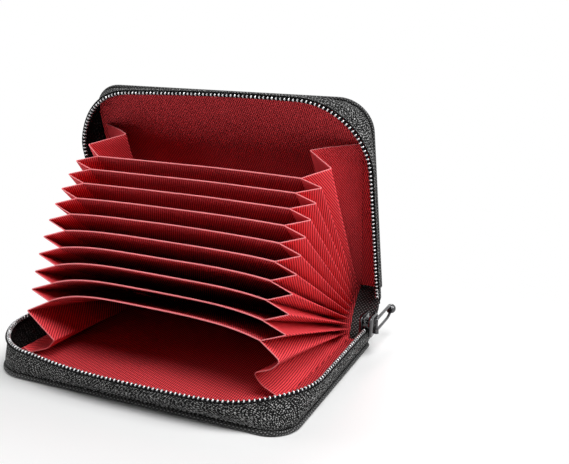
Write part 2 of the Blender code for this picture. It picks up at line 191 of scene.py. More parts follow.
def add_lamp(name, place, power):
    data = bpy.data.lights.new(name, "AREA")
    data.shape = "DISK"
    data.size = LAMP_SIZE
    data.energy = power
    lamp = placed(name, data)
    lamp.location = place
    lamp.rotation_mode = "QUATERNION"
    lamp.rotation_quaternion = (LAMP_TARGET - Vector(place)).to_track_quat("-Z", "Y")


# ---- nodes and finishes

class Graph:
    """Adds nodes to a tree and joins them."""

    def __init__(self, tree):
        self.tree = tree

    def node(self, kind, values=(), **settings):
        made = self.tree.nodes.new(kind)
        for name, value in settings.items():
            setattr(made, name, value)
        for key, value in dict(values).items():
            self.feed(made.inputs[key], value)
        return made

    def feed(self, socket, value):
        if isinstance(value, Value):
            value = value.socket
        if isinstance(value, bpy.types.NodeSocket):
            self.tree.links.new(value, socket)
        else:
            socket.default_value = value

    def math(self, operation, *values):
        return Value(self, self.node("ShaderNodeMath", enumerate(values), operation=operation).outputs[0])

    def vector(self, operation, values):
        return self.node("ShaderNodeVectorMath", values, operation=operation).outputs[0]

    def axes(self, vector):
        """A vector's first two coordinates."""
        made = self.node("ShaderNodeSeparateXYZ", {0: vector}).outputs
        return Value(self, made[0]), Value(self, made[1])

    def cloud(self, vector, scale, detail, output="Fac"):
        made = self.node("ShaderNodeTexNoise", {"Vector": vector, "Scale": scale, "Detail": detail})
        return Value(self, made.outputs[output])

    def mix(self, share, first, second, blend="MIX"):
        made = self.node("ShaderNodeMix", data_type="RGBA", blend_type=blend)
        for index, value in ((0, share), (6, first), (7, second)):
            self.feed(made.inputs[index], (*value, 1.0) if isinstance(value, tuple) else value)
        return made.outputs[2]

    def seen(self):
        """1 for what the camera sees, also in metal and through glass, and 0 for what only lights."""
        path = self.node("ShaderNodeLightPath").outputs
        mirrored = self.math("MAXIMUM", path["Is Glossy Ray"], path["Is Transmission Ray"])
        return self.math("MAXIMUM", path["Is Camera Ray"], mirrored)


class Value:
    """A node's output to reckon with: each step on it adds one node."""

    def __init__(self, graph, socket):
        self.graph = graph
        self.socket = socket

    def __add__(self, other):
        return self.graph.math("ADD", self, other)

    def __sub__(self, other):
        return self.graph.math("SUBTRACT", self, other)

    def __rsub__(self, other):
        return self.graph.math("SUBTRACT", other, self)

    def __mul__(self, other):
        return self.graph.math("MULTIPLY", self, other)

    def __truediv__(self, other):
        return self.graph.math("DIVIDE", self, other)

    def __rtruediv__(self, other):
        return self.graph.math("DIVIDE", other, self)

    def __mod__(self, other):
        return self.graph.math("FLOORED_MODULO", self, other)

    def __pow__(self, other):
        return self.graph.math("POWER", self, other)

    def whole(self):
        return self.graph.math("FLOOR", self)

    def arch(self):
        """Rises to 1 and falls back to 0 over every unit."""
        return self.graph.math("ABSOLUTE", self.graph.math("SINE", self * math.pi))

    def spread(self, low, high, to_low=0.0, to_high=1.0):
        """Runs from to_low to to_high as this runs from low to high."""
        limits = {"Value": self, "From Min": low, "From Max": high, "To Min": to_low, "To Max": to_high}
        return Value(self.graph, self.graph.node("ShaderNodeMapRange", limits).outputs[0])


class Group(Graph):
    """A shader node group that takes a vector and named numbers, and gives values over the surface."""

    def __init__(self, name, **defaults):
        super().__init__(bpy.data.node_groups.new(name, "ShaderNodeTree"))
        self.tree.interface.new_socket(name="Vector", in_out="INPUT", socket_type="NodeSocketVector")
        for label, value in defaults.items():
            socket = self.tree.interface.new_socket(name=label, in_out="INPUT", socket_type="NodeSocketFloat")
            socket.default_value = value
        self.given = self.node("NodeGroupInput").outputs

    def __getitem__(self, label):
        return Value(self, self.given[label])

    def give(self, **results):
        for label in results:
            self.tree.interface.new_socket(name=label, in_out="OUTPUT", socket_type="NodeSocketFloat")
        self.node("NodeGroupOutput", results)
        return self.tree


def make_plain_weave():
    """Over-and-under threads: a bead in every cell, long one way and then the other."""
    group = Group("plain_weave", Pitch=0.00075, Wander=0.15, Fineness=420.0)
    soft = group.cloud(group["Vector"], group["Fineness"], 1.0, "Color")
    shift = group.vector("SUBTRACT", {0: soft, 1: (0.5, 0.5, 0.5)})
    push = group.vector("SCALE", {0: shift, "Scale": group["Wander"] * 2.0})
    cells = group.vector("SCALE", {0: group["Vector"], "Scale": 1.0 / group["Pitch"]})
    across, along = group.axes(group.vector("ADD", {0: cells, 1: push}))
    parity = (across.whole() + along.whole()) % 2.0
    bead = (across.arch() ** parity.spread(0.0, 1.0, 0.35, 1.3)
            * along.arch() ** parity.spread(0.0, 1.0, 1.3, 0.35))
    return group.give(Height=bead, Float=bead * parity.spread(0.0, 1.0, 1.0, 0.35))


def make_twill():
    """Slanting ribs, Pitch apart, broken into short stitches along each rib."""
    group = Group("twill", Pitch=0.0009, Stitch=0.0007, Break=0.3, Slant=1.0)
    across, along = group.axes(group["Vector"])
    slant = group["Slant"]
    size = group.math("SQRT", slant * slant + 1.0)
    wander = (group.cloud(group["Vector"], 260.0, 2.0) - 0.5) * 0.45
    ribs = (across + along * slant) / (group["Pitch"] * size) + wander
    marks = (along - across * slant) / (group["Stitch"] * size)
    mark = (marks + ribs.whole() % 2.0 * 0.5).arch()
    kept = 1.0 - group["Break"] * (1.0 - mark)
    return group.give(Height=ribs.arch() ** 0.8 * kept)


def make_nap():
    """Fine, matt, uneven cloth: small bright tufts between dark pits."""
    group = Group("nap", Size=0.00045)
    scale = 1.0 / group["Size"]
    cells = group.node("ShaderNodeTexVoronoi", {"Vector": group["Vector"], "Scale": scale, "Randomness": 0.9})
    tuft = Value(group, cells.outputs["Distance"]).spread(0.62, 0.12)
    cloud = group.cloud(group["Vector"], scale, 2.0)
    return group.give(Height=tuft * cloud, Tuft=tuft ** 1.6 * cloud.spread(0.38, 0.66))


def make_tone():
    """Slow, faint changes of tone over a piece, as handled cloth has."""
    group = Group("tone", Scale=55.0, Amount=0.2)
    swing = (group.cloud(group["Vector"], group["Scale"], 3.0) - 0.5) * group["Amount"]
    return group.give(Value=swing * 2.0 + 1.0)


def make_fold_edge():
    """1 along a sheet's free edge, where the UV map's V is 0, fading out over Width: the mask of the red
    cloth's painted edge highlight.
    """
    group = Group("fold_edge", Width=0.0008)
    rise = group.axes(group["Vector"])[1] / group["Width"]
    return group.give(Edge=rise.spread(1.0, 0.35))


# V starts from here on the sheets that have no free edge
NO_EDGE_V = 0.05


GROUPS = {"plain_weave": make_plain_weave(), "twill": make_twill(), "nap": make_nap(),
          "tone": make_tone(), "fold_edge": make_fold_edge()}


class Finish(Graph):
    """A material with one Principled shader, its colour and bump fed from the cloth groups."""

    def __init__(self, name, roughness, metallic=0.0, sheen=0.0, specular=0.5, coat=0.0):
        self.material = bpy.data.materials.new(name)
        self.material.use_nodes = True
        super().__init__(self.material.node_tree)
        self.shader = self.tree.nodes["Principled BSDF"]
        values = {"Roughness": roughness, "Metallic": metallic, "Sheen Weight": sheen,
                  "Specular IOR Level": specular, "Coat Weight": coat}
        for socket, value in values.items():
            self.shader.inputs[socket].default_value = value

    def uv(self):
        return self.node("ShaderNodeUVMap", uv_map="cloth").outputs[0]

    def place(self):
        return self.node("ShaderNodeTexCoord").outputs["Object"]

    def group(self, name, vector, **values):
        made = self.node("ShaderNodeGroup", {"Vector": vector, **values}, node_tree=GROUPS[name])
        return {output.name: Value(self, output) for output in made.outputs}

    def scaled(self, colour, factor):
        grey = self.node("ShaderNodeCombineColor", {0: factor, 1: factor, 2: factor})
        return self.mix(1.0, colour, grey.outputs[0], "MULTIPLY")

    def finish(self, colour, height=None, depth=0.0002, strength=0.6, roughness=None):
        self.feed(self.shader.inputs["Base Color"], colour)
        if roughness is not None:
            self.feed(self.shader.inputs["Roughness"], roughness)
        if height is not None:
            bump = self.node("ShaderNodeBump", {"Strength": strength, "Distance": depth, "Height": height})
            self.feed(self.shader.inputs["Normal"], bump.outputs[0])
        return self.material


def cover_cloth():
    """Charcoal basket weave: grey floats between black oval holes."""
    made = Finish("cover_cloth", 0.8, sheen=0.05, specular=0.3)
    uv = made.uv()
    weave = made.group("plain_weave", uv, Pitch=0.00064, Wander=0.1)
    tone = made.group("tone", uv, Scale=70.0, Amount=0.22)["Value"]
    colour = made.mix(weave["Height"], (0.005, 0.005, 0.005), (0.024, 0.024, 0.024))
    colour = made.mix(weave["Float"].spread(0.36, 0.90), colour, (0.240, 0.240, 0.238))
    return made.finish(made.scaled(colour, tone), weave["Height"], depth=0.00022, strength=0.7)


def wall_cloth():
    """The zip wall's speckled cloth: darker along its top edge under the coil, with painted shade in the seam
    at its foot, and dark on its inner side.

    V is the height on the wall, and U is over 1 on its inner side.
    """
    made = Finish("wall_cloth", 0.9, specular=0.08)
    uv = made.uv()
    weave = made.group("plain_weave", uv, Pitch=0.00058, Wander=1.3, Fineness=1300.0)
    grain = made.group("tone", uv, Scale=1600.0, Amount=1.9)["Value"]
    tone = made.group("tone", uv, Scale=60.0, Amount=0.3)["Value"]
    colour = made.mix(weave["Height"], (0.004, 0.004, 0.004), (0.018, 0.018, 0.018))
    bright = weave["Float"].spread(0.45, 0.95) * grain
    colour = made.scaled(made.mix(bright, colour, (0.540, 0.540, 0.535)), tone)
    run, rise = made.axes(uv)
    # Darker along the top edge under the coil, painted shade in the seam at the foot, and dark on the inner
    # side
    band = rise.spread(0.0095, 0.0098, 1.0, 0.08) * rise.spread(0.0005, 0.0010, 0.05, 1.0)
    band = band * run.spread(0.6, 0.7, 1.0, 0.10)
    return made.finish(made.scaled(colour, band), weave["Height"], strength=0.7)


def red_cloth(name, ground, **weaving):
    """Ribbed red cloth, deep red between its pale ribs, with a painted highlight along a folded free edge,
    where its rounded fold catches light.
    """
    made = Finish(name, 0.75, specular=0.12)
    uv = made.uv()
    cloth = made.group("twill", uv, **weaving)
    colour = made.mix(cloth["Height"].spread(0.15, 0.90), ground, (0.990, 0.082, 0.098))
    tone = made.group("tone", uv, Scale=40.0, Amount=0.18)["Value"]
    # Painted highlight: pale pink along the folded free edge, where the rounded fold catches light
    painted_highlight = made.group("fold_edge", uv, Width=0.0003)["Edge"]
    colour = made.mix(painted_highlight * 0.80, colour, (0.990, 0.300, 0.320))
    return made.finish(made.scaled(colour, tone), cloth["Height"], depth=0.00018)


def zip_plastic():
    made = Finish("zip_plastic", 0.25, metallic=0.6, specular=0.6)
    cloud = made.group("tone", made.place(), Scale=900.0, Amount=0.25)["Value"]
    return made.finish(made.scaled((0.56, 0.56, 0.57), cloud), roughness=cloud * 0.25)


def black_metal():
    made = Finish("black_metal", 0.18, metallic=0.95, coat=0.3)
    cloud = made.group("tone", made.place(), Scale=500.0, Amount=0.3)["Value"]
    return made.finish(made.scaled((0.075, 0.075, 0.078), cloud), cloud, depth=0.00002, strength=0.3,
                       roughness=cloud * 0.2)


def napped(name, specular, size, dark, light):
    made = Finish(name, 0.9, specular=specular)
    nap = made.group("nap", made.place(), Size=size)
    return made.finish(made.mix(nap["Tuft"], dark, light), nap["Height"], depth=0.0001)


MATERIALS = {
    "cover": cover_cloth(), "wall": wall_cloth(),
    "divider": red_cloth("divider_cloth", (0.110, 0.006, 0.009), Pitch=0.00070, Stitch=0.00055, Break=0.9,
                         Slant=0.5),
    "gusset": red_cloth("gusset_cloth", (0.200, 0.001, 0.004), Pitch=0.00071, Break=0.25, Slant=0.3),
    "lining": red_cloth("lining_cloth", (0.050, 0.001, 0.002), Pitch=0.00072, Stitch=0.0006, Break=0.5,
                        Slant=0.25),
    "coil": zip_plastic(), "metal": black_metal(),
    "cord": napped("zip_cord", 0.08, 0.0003, (0.006, 0.006, 0.007), (0.03, 0.03, 0.03)),
    "board": napped("grey_board", 0.5, 0.0006, (0.24, 0.22, 0.19), (0.36, 0.34, 0.30)),
}


# ---- working helpers

def deselect():
    bpy.ops.object.select_all(action="DESELECT")


def activate(piece):
    deselect()
    piece.select_set(True)
    bpy.context.view_layer.objects.active = piece


def enter(mode):
    bpy.ops.object.mode_set(mode=mode)


def apply_modifier(piece, kind, **settings):
    activate(piece)
    modifier = piece.modifiers.new(kind, kind)
    for name, value in settings.items():
        setattr(modifier, name, value)
    bpy.ops.object.modifier_apply(modifier=modifier.name)


def smooth(piece, angle=60):
    activate(piece)
    bpy.ops.object.shade_smooth_by_angle(angle=math.radians(angle))


def round_edges(piece, width, segments, angle=60):
    """Rounds the edges that turn by more than an angle."""
    apply_modifier(piece, "BEVEL", width=width, segments=segments, limit_method="ANGLE",
                   angle_limit=math.radians(angle))


def thicken(piece, thickness, rim=0.0, even=False):
    """Gives a sheet its thickness and rounds its rim."""
    apply_modifier(piece, "SOLIDIFY", thickness=thickness, offset=0.0, use_even_offset=even)
    if rim:
        round_edges(piece, rim, 2, 50)
    smooth(piece)


def combine(piece, operation, other):
    """Joins another piece on or cuts it away, and removes it."""
    apply_modifier(piece, "BOOLEAN", operation=operation, object=other, solver="EXACT")
    bpy.data.objects.remove(other)


def close_seams(piece, threshold):
    """Merges doubled points, fills what is left open, and turns the faces outwards."""
    activate(piece)
    enter("EDIT")
    bpy.ops.mesh.select_all(action="SELECT")
    bpy.ops.mesh.remove_doubles(threshold=threshold)
    bpy.ops.mesh.fill_holes(sides=0)
    bpy.ops.mesh.normals_make_consistent(inside=False)
    enter("OBJECT")


def rename(piece, name):
    piece.name = name
    piece.data.name = name


def start_piece(name, material):
    """Names the primitive that was just added and gives it its material."""
    piece = bpy.context.object
    rename(piece, name)
    piece.data.materials.append(MATERIALS[material])
    return piece


def select_only(piece, kind, test):
    """In edit mode, selects just the verts, edges or faces that pass the test."""
    bpy.context.tool_settings.mesh_select_mode = (kind == "verts", kind == "edges", kind == "faces")
    bpy.ops.mesh.select_all(action="DESELECT")
    work = bmesh.from_edit_mesh(piece.data)
    for item in getattr(work, kind):
        if test(item):
            item.select_set(True)
    work.select_flush_mode()
    bmesh.update_edit_mesh(piece.data)


def cloth_grid(name, material, columns, rows, point_at, uv_at):
    """A grid primitive laid into shape: point_at and uv_at take the column and the row."""
    deselect()
    bpy.ops.mesh.primitive_grid_add(x_subdivisions=columns, y_subdivisions=rows, size=1.0, calc_uvs=False)
    piece = start_piece(name, material)
    mesh = piece.data
    spots = [(round((v.co.x + 0.5) * columns), round((v.co.y + 0.5) * rows)) for v in mesh.vertices]
    layer = mesh.uv_layers.new(name="cloth")
    for loop in mesh.loops:
        layer.data[loop.index].uv = uv_at(*spots[loop.vertex_index])
    for vertex, spot in zip(mesh.vertices, spots):
        vertex.co = point_at(*spot)
    mesh.update()
    return piece


def box(name, centre, size):
    """A metal block with its place and size already in its mesh."""
    deselect()
    bpy.ops.mesh.primitive_cube_add(size=1.0, location=centre, scale=size)
    bpy.ops.object.transform_apply()
    return start_piece(name, "metal")


def wire(name, material, points, radius, resolution, closed=False):
    """A round wire through points, made a mesh."""
    curve = bpy.data.curves.new(name, "CURVE")
    curve.dimensions = "3D"
    spline = curve.splines.new("POLY")
    spline.points.add(len(points) - 1)
    for slot, point in zip(spline.points, points):
        slot.co = (*point, 1.0)
    spline.use_cyclic_u = closed
    curve.bevel_depth = radius
    curve.bevel_resolution = resolution
    curve.use_fill_caps = not closed
    activate(placed(name, curve))
    bpy.ops.object.convert(target="MESH")
    piece = start_piece(name, material)
    close_seams(piece, 0.000002)
    smooth(piece)
    return piece


def copied(piece, name, shift=0.0):
    """A copy with its own mesh, moved sideways in its mesh."""
    activate(piece)
    bpy.ops.object.duplicate()
    twin = bpy.context.object
    rename(twin, name)
    twin.data.transform(Matrix.Translation((shift, 0, 0)))
    return twin


def wear(piece, body, node):
    """Rides a finished piece on its body and hides the CAD that it stands for.

    The upper cover's pieces are drawn lying on their backs, and turned over here.
    """
    if body == "upper_cover":
        piece.data.transform(UPPER)
    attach(piece, body)
    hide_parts(node)


# ---- places and lines

def level(index):
    """A leaf's height in the shut stack; the hinge below it lies half a pitch lower."""
    return LEAF_Z + PITCH * index


# For each leaf, the matrix from the shut stack to the open fan
LEAVES = [Matrix.Identity(4)]
for index, opening in enumerate(OPENINGS, 1):
    pivot = Matrix.Translation((0, PIVOT_Y, level(index - 0.5)))
    turn = Matrix.Rotation(-math.radians(opening), 4, "X")
    LEAVES.append(LEAVES[-1] @ pivot @ turn @ pivot.inverted())

BODIES = ["lower_cover", *(f"leaf_{index:02d}" for index in range(1, DIVIDER_COUNT + 1)), "upper_cover"]
UPPER = LEAVES[-1] @ Matrix.Translation((0, 0, CLOSED_THICKNESS)) @ Matrix.Rotation(math.pi, 4, "Y")


def bent(point, index, share):
    """A point of the shut stack turned by a share of one hinge's opening."""
    pivot = Vector((0, PIVOT_Y, level(index - 0.5)))
    turn = Matrix.Rotation(-math.radians(OPENINGS[index - 1] * share), 3, "X")
    return LEAVES[index - 1] @ (turn @ (point - pivot) + pivot)


def arc(centre, radius, start, end, steps):
    """Points on an arc in plan, angles in degrees from +X."""
    turns = [math.radians(start + (end - start) * step / steps) for step in range(steps + 1)]
    return [Vector((centre[0] + radius * math.cos(turn), centre[1] + radius * math.sin(turn), 0))
            for turn in turns]


def straight(start, end, steps):
    """The points between two ends, without the ends."""
    return [start.lerp(end, step / steps) for step in range(1, steps)]


def rounded(points, cuts, corner_steps=5, straight_steps=3):
    """A polyline with its inner corners rounded; cuts says how far back each rounding starts, at most."""
    line = [points[0]]
    last = points[0]
    for before, corner, after, cut in zip(points, points[1:], points[2:], cuts):
        enter_at, leave_at = (corner + leg.normalized() * min(cut, 0.45 * leg.length)
                              for leg in (before - corner, after - corner))
        line += straight(last, enter_at, straight_steps) + [enter_at]
        for step in range(1, corner_steps + 1):
            share = step / corner_steps
            line.append(enter_at.lerp(corner, share).lerp(corner.lerp(leave_at, share), share))
        last = leave_at
    return line + straight(last, points[-1], straight_steps) + [points[-1]]


def lengths(line):
    """The distance along a line to each of its points."""
    total = [0.0]
    for before, after in zip(line, line[1:]):
        total.append(total[-1] + (after - before).length)
    return total


# ---- covers

def cover_outline(inset, loose):
    """The cover's outline in plan, drawn in by inset, closed on its first point."""
    half, rear = COVER_WIDTH / 2 - inset, REAR_Y - inset
    left, right, small = (max(radius - inset, 0.1 * MM)
                          for radius in (loose.left_radius, loose.right_radius, REAR_CORNER_RADIUS))
    corners = [arc((half - small, rear - small), small, 90, 0, 4),
               arc((half - right, right - rear), right, 0, -90, 12),
               arc((left - half, left - rear), left, -90, -180, 12),
               arc((small - half, rear - small), small, 180, 90, 4)]
    line = []
    for index, corner in enumerate(corners):
        line += corner + straight(corner[-1], corners[(index + 1) % 4][0], 10)
    return line + [line[0]]


# The cover cloth's section from its flat face, round the rolled lip, into the seam and the hollow:
# how far in from the outline, and how high
LIP = ((9.0, 0.0), (3.0, 0.0), (1.6, 0.02), (1.0, 0.06), (0.6, 0.15), (0.28, 0.34), (0.08, 0.62),
       (0.0, 0.95), (0.06, 1.28), (0.24, 1.56), (0.5, 1.70), (0.74, 1.62), (0.88, 1.38), (1.0, 1.22),
       (1.2, 1.5), (1.42, 1.95), (1.55, 2.0), (1.60, 0.82))


def make_cover_cloth(prefix, loose):
    rings = [[point + Vector((0, 0, height * MM)) for point in cover_outline(inset * MM, loose)]
             for inset, height in LIP]
    flat = rings[0]
    out = [(outer - inner).normalized() for outer, inner in zip(cover_outline(0.0, loose), flat)]
    run = lengths([Vector((inset * MM, height * MM, 0)) for inset, height in LIP])
    cloth = cloth_grid(f"{prefix}_cover_cloth", "cover", len(flat) - 1, len(LIP) - 1,
                       lambda column, row: rings[row][column],
                       lambda column, row: (flat[column] + out[column] * run[row])[:2])
    close_seams(cloth, 0.00001)
    layer = cloth.data.uv_layers["cloth"]
    for face in cloth.data.polygons:
        if len(face.vertices) > 4:
            for loop in face.loop_indices:
                layer.data[loop].uv = cloth.data.vertices[cloth.data.loops[loop].vertex_index].co[:2]
    smooth(cloth, 50)
    return cloth


def make_cover_lining(prefix, loose, drawn_out):
    """The red sheet glued inside the cover, a little higher at its rim; drawn_out stretches its weave."""
    rows, columns = 24, 36
    half, rear = COVER_WIDTH / 2 - LINING_INSET, REAR_Y - LINING_INSET

    def reach(radius, y):
        drop = max(-rear + radius - y, 0.0)
        return half - radius + math.sqrt(max(radius ** 2 - drop ** 2, 0.0))

    def point_at(column, row):
        y = -rear + 2 * rear * row / rows
        left, right = -reach(loose.left_radius - LINING_INSET, y), reach(loose.right_radius - LINING_INSET, y)
        x = left + (right - left) * column / columns
        edge = min(half - abs(x), rear - abs(y)) / LINING_EDGE
        wave = LINING_WAVE * noise.noise(Vector((x * 60, y * 60, 1.7)))
        return Vector((x, y, LINING_Z + LINING_RISE * max(0.0, 1 - edge) + wave))

    def uv_at(column, row):
        spot = point_at(column, row)
        return spot.x, NO_EDGE_V + spot.y / drawn_out

    lining = cloth_grid(f"{prefix}_lining", "lining", columns, rows, point_at, uv_at)
    thicken(lining, LINING_THICKNESS)
    return lining


def dress_covers():
    for prefix, loose in SLACK.items():
        cloth = make_cover_cloth(prefix, loose)
        lining = make_cover_lining(prefix, loose, 1.0 if prefix == "upper" else 2.5)
        board = f"{prefix}_cover_board"
        wear(cloth, f"{prefix}_cover", f"{prefix}_cover_fabric")
        wear(lining, f"{prefix}_cover", f"{prefix}_cover_lining")
        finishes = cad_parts[board].data.materials
        finishes.clear()
        finishes.append(MATERIALS["board"])


# ---- zip

def zip_line(inset, left_radius, right_radius):
    """A line in plan round the three zipped sides, from the spine's left end to its right end."""
    side_steps, turn_steps, front_steps = 22, 18, 40
    half = COVER_WIDTH / 2 - inset
    front = -REAR_Y + inset
    sides = []
    for radius in (left_radius, right_radius):
        turn = front + radius
        side = [Vector((-half, TAPE_REAR_Y + (turn - TAPE_REAR_Y) * step / side_steps, 0))
                for step in range(side_steps)]
        sides.append(side + arc((-half + radius, turn), radius, 180, 270, turn_steps))
    left, right = sides[0], [Vector((-p.x, p.y, 0)) for p in reversed(sides[1])]
    return left + straight(left[-1], right[0], front_steps) + right


def slackness(loose, x):
    """How slack the zip's edge is at x along the front: 1 in the middle, 0 past the corners."""
    return max(0.0, 1 - abs((x - loose.middle) / loose.half) ** loose.power) ** 1.15


def head_line(inset, loose):
    """The zipped edge of one half: it bulges at the front and leans towards one side."""
    radius = TAPE_CORNER_RADIUS - TAPE_OUTSET - inset
    line = []
    for point in zip_line(inset, radius, radius):
        reach = point.y - LEAN_Y
        lean = 0.0
        if point.x * loose.lean > 0:
            lean = math.exp(-(reach / (LEAN_REAR if reach > 0 else loose.lean_front)) ** 2)
            lean *= min(1.0, abs(point.x) / LEAN_START)
        bulge = loose.bulge * slackness(loose, point.x)
        line.append(Vector((point.x + loose.lean * lean, point.y - bulge, 0)))
    return line


def outward(line, index):
    """The direction in plan away from the holder, square to a line at one of its points."""
    run = line[min(index + 1, len(line) - 1)] - line[max(index - 1, 0)]
    return Vector((run.y, -run.x, 0)).normalized()


# The wall's section above its seam: height, share of its lean, and how far it stands outside the lean
WALL = ((1.25, 0.0, 0.0), (1.6, 0.0, 0.0), (2.1, 0.02, 0.10), (2.8, 0.08, 0.24), (3.6, 0.22, 0.30),
        (4.5, 0.40, 0.30), (5.5, 0.60, 0.26), (6.5, 0.77, 0.20), (7.5, 0.90, 0.12), (8.4, 0.97, 0.05),
        (9.2, 1.0, 0.04), (9.7, 1.0, 0.14), (10.1, 1.0, 0.32), (10.45, 1.0, 0.50), (10.75, 1.0, 0.56))
WALL_FOOT = WALL[0][0] * MM
WALL_HEAD = WALL[-1][0] * MM
TAPE_EDGE = 9.45


def lean_share(height):
    """The share of its lean that a wall has at a height above its cover's outer face."""
    for (low, share, _), (high, more, _) in zip(WALL, WALL[1:]):
        if height <= high * MM:
            return share + (more - share) * (height / MM - low) / (high - low)
    return 1.0


def make_wall(name, loose):
    foot = zip_line(TAPE_INSET, loose.left_radius - TAPE_INSET, loose.right_radius - TAPE_INSET)
    head = head_line(-TAPE_OUTSET, loose)
    run = lengths(head)
    rise = lengths([Vector((share * (TAPE_INSET + TAPE_OUTSET), height * MM, 0))
                    for height, share, _ in WALL])

    def point_at(column, row):
        height, share, stand = WALL[row]
        ripple = noise.noise(Vector((run[column] * 110, height * 0.35, 4.0 + 400 * loose.lean)))
        crease = WALL_CREASE * ripple * math.sin(min(height, TAPE_EDGE) / TAPE_EDGE * math.pi)
        spot = foot[column].lerp(head[column], share) + outward(head, column) * (stand * MM + crease)
        sunk = 1 - loose.droop * slackness(loose, head[column].x) / (WALL_HEAD - WALL_FOOT)
        return Vector((spot.x, spot.y, WALL_FOOT + (height * MM - WALL_FOOT) * sunk))

    wall = cloth_grid(name, "wall", len(head) - 1, len(WALL) - 1, point_at,
                      lambda column, row: (run[column], rise[row]))
    thicken(wall, WALL_THICKNESS, 0.1 * MM)
    layer = wall.data.uv_layers["cloth"]
    for face in wall.data.polygons:
        if face.normal.x * face.center.x + face.normal.y * face.center.y < 0:
            for loop in face.loop_indices:
                layer.data[loop].uv.x += 1.0
    return wall


def make_coil(name, loose):
    """The zip's coil: one wire wound round the tape's edge, a slanting loop for every tooth.

    A cord fills its loops, and a thread sewn through them runs along their inner side.
    """
    def edge(inset, height):
        return [Vector((p.x, min(p.y, COIL_REAR_Y), height - loose.droop * slackness(loose, p.x)))
                for p in head_line(inset - TAPE_OUTSET, loose)]

    line = edge(COIL_INSET, COIL_Z)
    run = lengths(line)
    loops = int(run[-1] / COIL_PITCH)
    loop_steps = 12
    points = []
    for step in range(loops * loop_steps + 1):
        turn = 2 * math.pi * step / loop_steps
        along = run[-1] * step / (loops * loop_steps) + LOOP_SLANT * math.cos(turn)
        along = min(max(along, 0.0), run[-1] - 1e-9)
        spot = min(bisect(run, along), len(run) - 1) - 1
        share = (along - run[spot]) / max(run[spot + 1] - run[spot], 1e-9)
        heading = (line[spot + 1] - line[spot]).normalized()
        out = Vector((heading.y, -heading.x, 0))
        points.append(line[spot].lerp(line[spot + 1], share) + out * LOOP_HALF_DEPTH * math.cos(turn)
                      + Vector((0, 0, LOOP_HALF_HEIGHT * math.sin(turn))))
    thread = edge(THREAD_INSET, COIL_Z - THREAD_DROP)
    return [wire(f"{name}_coil", "coil", points, COIL_WIRE_RADIUS, 1),
            wire(f"{name}_coil_cord", "cord", line, CORD_RADIUS, 2),
            wire(f"{name}_coil_thread", "cord", thread, THREAD_RADIUS, 1)]


def make_stop():
    """A crimped metal stop: rounded, with two pressed grooves across its outer side."""
    centre = Vector((COIL_X, TAPE_REAR_Y - STOP_LENGTH / 2, COIL_Z))
    stop = box("stop", centre, (STOP_WIDTH, STOP_LENGTH, STOP_HEIGHT))
    enter("EDIT")
    bpy.ops.mesh.select_all(action="SELECT")
    bpy.ops.mesh.subdivide(number_cuts=4)
    for groove in (centre.y - STOP_GROOVE_Y, centre.y + STOP_GROOVE_Y):
        select_only(stop, "verts", lambda v: (abs(v.co.y - groove) < 0.3 * MM
                                              and abs(v.co.x - centre.x) > STOP_WIDTH * 0.47))
        bpy.ops.transform.resize(value=(0.82, 1, 1), center_override=centre)
    enter("OBJECT")
    round_edges(stop, 0.28 * MM, 3)
    smooth(stop, 40)
    return stop


def dress_zip():
    for prefix, loose in SLACK.items():
        wall = make_wall(f"{prefix}_zip_wall", loose)
        wound = make_coil(prefix, loose)
        wear(wall, f"{prefix}_cover", f"{prefix}_zip_tape")
        for piece in wound:
            wear(piece, f"{prefix}_cover", f"{prefix}_zip_coil")
    stop = make_stop()
    left = copied(stop, "top_stop_lower_clip", -2 * COIL_X)
    top = copied(stop, "top_stop_upper_clip")
    stop.name = "bottom_stop_clip"
    wear(stop, "lower_cover", "bottom_stop")
    wear(left, "lower_cover", "top_stop_lower")
    wear(top, "upper_cover", "top_stop_upper")


# ---- slider and puller

def make_plate(side):
    """One slider plate: rounded, narrower at its tail, with a raised middle on its outer side."""
    centre = Vector((COIL_X + side * (CHANNEL + PLATE / 2), SLIDER_Y, SLIDER_Z))
    plate = box(f"plate_{side}", centre, (PLATE, SLIDER_LENGTH, SLIDER_HEIGHT))
    enter("EDIT")
    select_only(plate, "verts", lambda v: v.co.y > SLIDER_Y)
    bpy.ops.transform.resize(value=(1, 1, TAIL_SHARE), center_override=centre)
    select_only(plate, "edges", lambda e: abs(e.verts[0].co.x - e.verts[1].co.x) > PLATE / 2)
    bpy.ops.mesh.bevel(offset=PLATE_CORNER, segments=6, affect="EDGES")
    select_only(plate, "faces", lambda f: f.normal.x * side > 0.9)
    bpy.ops.mesh.inset(thickness=PLATE_RIM)
    bpy.ops.transform.translate(value=(side * PLATE_RAISE, 0, 0))
    enter("OBJECT")
    round_edges(plate, 0.14 * MM, 2, 40)
    return plate


def make_crown():
    """The domed bridge over the puller's bar."""
    face = COIL_X + CHANNEL + PLATE
    crown = box("crown", (face - 0.2 * MM + CROWN_RISE / 2, SLIDER_Y, SLIDER_Z),
                (CROWN_RISE, CROWN_LENGTH, CROWN_WIDTH))
    enter("EDIT")
    select_only(crown, "edges", lambda e: all(v.co.x > face + CROWN_RISE / 2 for v in e.verts)
                and abs(e.verts[0].co.z - e.verts[1].co.z) > MM)
    bpy.ops.mesh.bevel(offset=CROWN_CORNER, segments=8, affect="EDGES")
    enter("OBJECT")
    round_edges(crown, 0.5 * MM, 4)
    deselect()
    bpy.ops.mesh.primitive_cylinder_add(vertices=32, radius=BAR_HOLE_RADIUS, depth=6 * MM,
                                        location=(PULLER_X, SLIDER_Y, SLIDER_Z))
    # A known fault: this cut loses the rounded bridge and leaves a stub of the cylinder
    combine(crown, "DIFFERENCE", bpy.context.object)
    return crown


